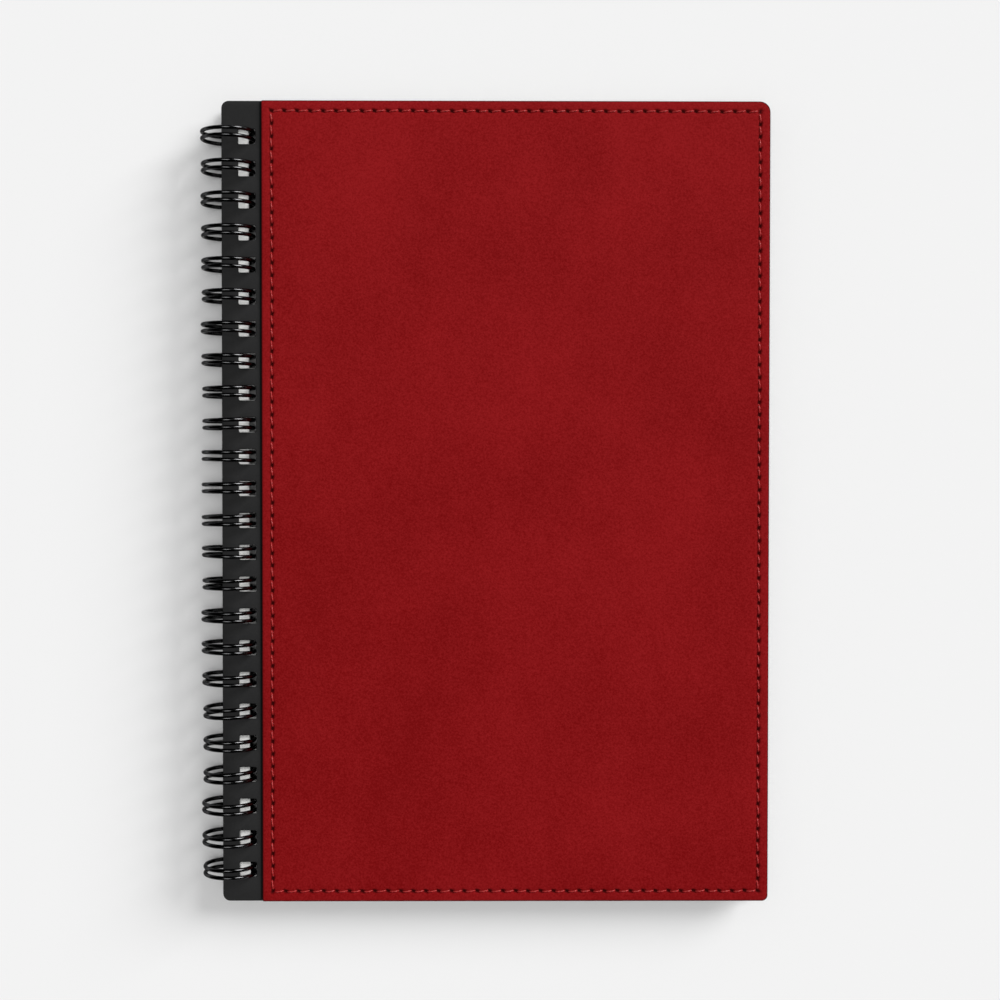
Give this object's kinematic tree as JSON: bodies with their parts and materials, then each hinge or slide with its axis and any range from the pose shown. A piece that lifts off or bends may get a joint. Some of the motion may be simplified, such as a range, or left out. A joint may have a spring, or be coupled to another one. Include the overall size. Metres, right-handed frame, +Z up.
{
  "type": "wire-bound notebook",
  "caption": "Closed A5 notebook on twin-loop wire, with punched black board covers, stitched red leather panels, linings and leaves that turn about the wire.",
  "frame": {"origin": "centre of the notebook's footprint, on the surface it lies on", "axes": "+X from the wire to the fore edge, +Y along the wire towards the head of the notebook, +Z up from the back cover to the front cover"},
  "size_m": [0.1509, 0.2126, 0.0145],
  "materials": {
    "red_leather": "nubuck, matte",
    "red_thread": "waxed polyester thread",
    "black_board": "matte cover paper on board",
    "lining_paper": "matte",
    "page_paper": "uncoated",
    "black_wire": "gloss nylon coating on steel wire"
  },
  "bodies": {
    "back_cover": {"back_leather_panel": "red_leather", "back_stitching": "red_thread", "back_cover_board": "black_board", "back_lining": "lining_paper"},
    "binding_wire": {"twin_loop_01": "black_wire", "twin_loop_02": "black_wire", "twin_loop_03": "black_wire", "twin_loop_04": "black_wire", "twin_loop_05": "black_wire", "twin_loop_06": "black_wire", "twin_loop_07": "black_wire", "twin_loop_08": "black_wire", "twin_loop_09": "black_wire", "twin_loop_10": "black_wire", "twin_loop_11": "black_wire", "twin_loop_12": "black_wire", "twin_loop_13": "black_wire", "twin_loop_14": "black_wire", "twin_loop_15": "black_wire", "twin_loop_16": "black_wire", "twin_loop_17": "black_wire", "twin_loop_18": "black_wire", "twin_loop_19": "black_wire", "twin_loop_20": "black_wire", "twin_loop_21": "black_wire", "twin_loop_22": "black_wire", "twin_loop_23": "black_wire", "twin_loop_24": "black_wire"},
    "rear_pages": {"page_section_4": "page_paper", "page_section_3": "page_paper"},
    "front_pages": {"page_section_2": "page_paper", "page_section_1": "page_paper"},
    "first_leaf": {"first_leaf": "page_paper"},
    "front_cover": {"front_lining": "lining_paper", "front_cover_board": "black_board", "front_leather_panel": "red_leather", "front_stitching": "red_thread"}
  },
  "joints": [
    {"name": "wire_turn", "type": "hinge", "parent": "back_cover", "child": "binding_wire", "pos_m": [-0.06823, 0, 0.0073], "axis": [0, -1, 0], "range_deg": [-60, 15]},
    {"name": "rear_pages_turn", "type": "hinge", "parent": "back_cover", "child": "rear_pages", "pos_m": [-0.06823, 0, 0.0073], "axis": [0, -1, 0], "range_deg": [0, 180]},
    {"name": "front_pages_turn", "type": "hinge", "parent": "rear_pages", "child": "front_pages", "pos_m": [-0.06823, 0, 0.0073], "axis": [0, -1, 0], "range_deg": [0, 180]},
    {"name": "first_leaf_turn", "type": "hinge", "parent": "front_pages", "child": "first_leaf", "pos_m": [-0.06823, 0, 0.0073], "axis": [0, -1, 0], "range_deg": [0, 180]},
    {"name": "front_cover_turn", "type": "hinge", "parent": "first_leaf", "child": "front_cover", "pos_m": [-0.06823, 0, 0.0073], "axis": [0, -1, 0], "range_deg": [0, 180]}
  ]
}
